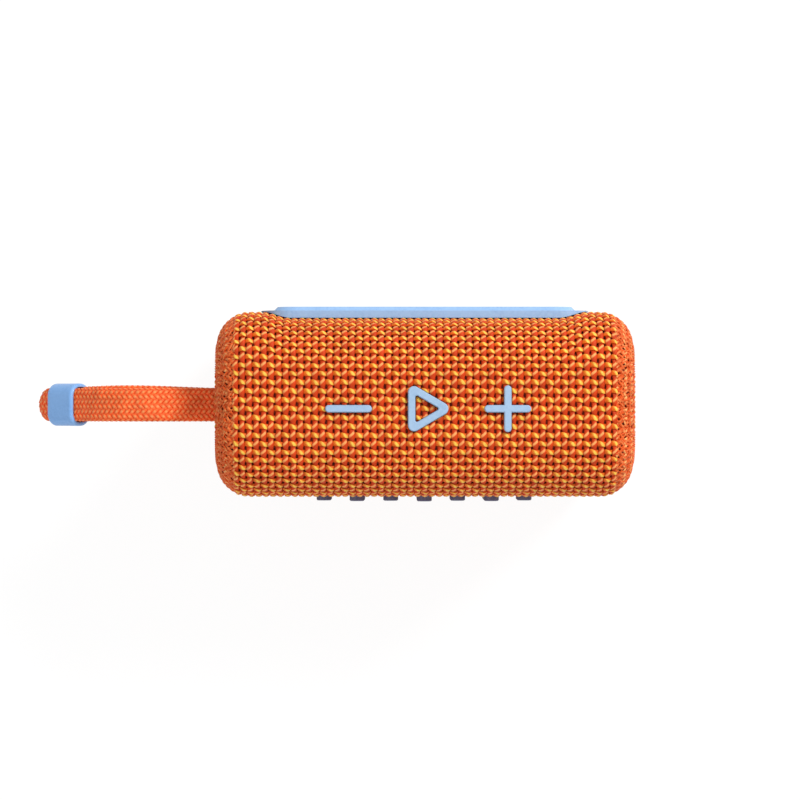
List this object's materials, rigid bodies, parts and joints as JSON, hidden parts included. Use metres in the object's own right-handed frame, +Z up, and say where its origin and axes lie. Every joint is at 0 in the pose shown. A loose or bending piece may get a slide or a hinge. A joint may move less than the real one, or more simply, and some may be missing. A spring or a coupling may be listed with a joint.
{
  "type": "portable bluetooth speaker",
  "caption": "Pocket loudspeaker in a woven cover, with raised keys on top, a rubber back panel, a side strip with a charging port and a flat carry loop.",
  "frame": {"origin": "on the floor under the middle of the speaker's box, measured without the carry loop", "axes": "+Z up, -Y out of the grille, +X to the right end with the charging port; the carry loop leaves the -X end"},
  "size_m": [0.1259, 0.0412, 0.075],
  "materials": {
    "woven_cover": "plain weave, matt",
    "cord_fabric": "braided, matt",
    "casing_plastic": "fine grain",
    "blue_rubber": "satin",
    "collar_rubber": "satin",
    "badge_plastic": "satin",
    "seal_foam": "matt",
    "steel": "plated",
    "magnet_nickel": "plated",
    "coil_copper": "enamelled wire",
    "cone_paper": "pressed fibre",
    "suspension_cloth": "impregnated",
    "surround_rubber": "matt",
    "board_green": "solder mask",
    "chip_black": "moulded",
    "cell_wrap": "shrink film",
    "flex_amber": "polyimide film",
    "light_pipe": "clear"
  },
  "bodies": {
    "casing": {"fabric_cover": "woven_cover", "rear_housing": "casing_plastic", "front_grille": "casing_plastic", "front_baffle": "casing_plastic", "baffle_gasket": "seal_foam", "baffle_screws": "steel", "back_panel": "blue_rubber", "bottom_foot": "blue_rubber", "badge_bars": "badge_plastic", "side_strip": "blue_rubber", "status_light": "light_pipe", "driver_basket": "casing_plastic", "driver_yoke": "steel", "driver_magnet": "magnet_nickel", "pole_plate": "steel", "driver_surround": "surround_rubber", "driver_spider": "suspension_cloth", "driver_screws": "steel", "passive_frame": "casing_plastic", "passive_surround": "surround_rubber", "main_board": "board_green", "board_screws": "steel", "radio_module": "steel", "board_components": "chip_black", "side_switches": "chip_black", "usb_c_socket": "steel", "usb_gasket": "seal_foam", "top_key_board": "board_green", "top_switches": "chip_black", "key_board_screws": "steel", "flex_cable": "flex_amber", "battery_cell": "cell_wrap", "battery_foam": "seal_foam", "loop_socket": "casing_plastic", "loop_anchor": "casing_plastic", "loop_cord": "cord_fabric", "loop_collar": "collar_rubber"},
    "minus_key": {"minus_key": "blue_rubber"},
    "play_key": {"play_key": "blue_rubber", "play_key_fabric": "woven_cover"},
    "plus_key": {"plus_key": "blue_rubber"},
    "pairing_key": {"pairing_key": "blue_rubber"},
    "power_key": {"power_key": "blue_rubber"},
    "cone": {"driver_cone": "cone_paper", "dust_cap": "cone_paper", "voice_coil": "coil_copper"},
    "passive_plate": {"passive_plate": "magnet_nickel"}
  },
  "joints": [
    {"name": "minus_press", "type": "slide", "parent": "casing", "child": "minus_key", "axis": [0, 0, -1], "range_m": [0, 0.0004], "stiffness_N_per_m": 400},
    {"name": "play_press", "type": "slide", "parent": "casing", "child": "play_key", "axis": [0, 0, -1], "range_m": [0, 0.0004], "stiffness_N_per_m": 400},
    {"name": "plus_press", "type": "slide", "parent": "casing", "child": "plus_key", "axis": [0, 0, -1], "range_m": [0, 0.0004], "stiffness_N_per_m": 400},
    {"name": "pairing_press", "type": "slide", "parent": "casing", "child": "pairing_key", "axis": [-1, 0, 0], "range_m": [0, 0.0004], "stiffness_N_per_m": 400},
    {"name": "power_press", "type": "slide", "parent": "casing", "child": "power_key", "axis": [-1, 0, 0], "range_m": [0, 0.0004], "stiffness_N_per_m": 400},
    {"name": "cone_travel", "type": "slide", "parent": "casing", "child": "cone", "axis": [0, -1, 0], "range_m": [-0.001, 0.001], "stiffness_N_per_m": 600, "deforming": ["driver_surround", "driver_spider"]},
    {"name": "passive_travel", "type": "slide", "parent": "casing", "child": "passive_plate", "axis": [0, -1, 0], "range_m": [-0.001, 0.001], "stiffness_N_per_m": 500, "deforming": ["passive_surround"]}
  ]
}
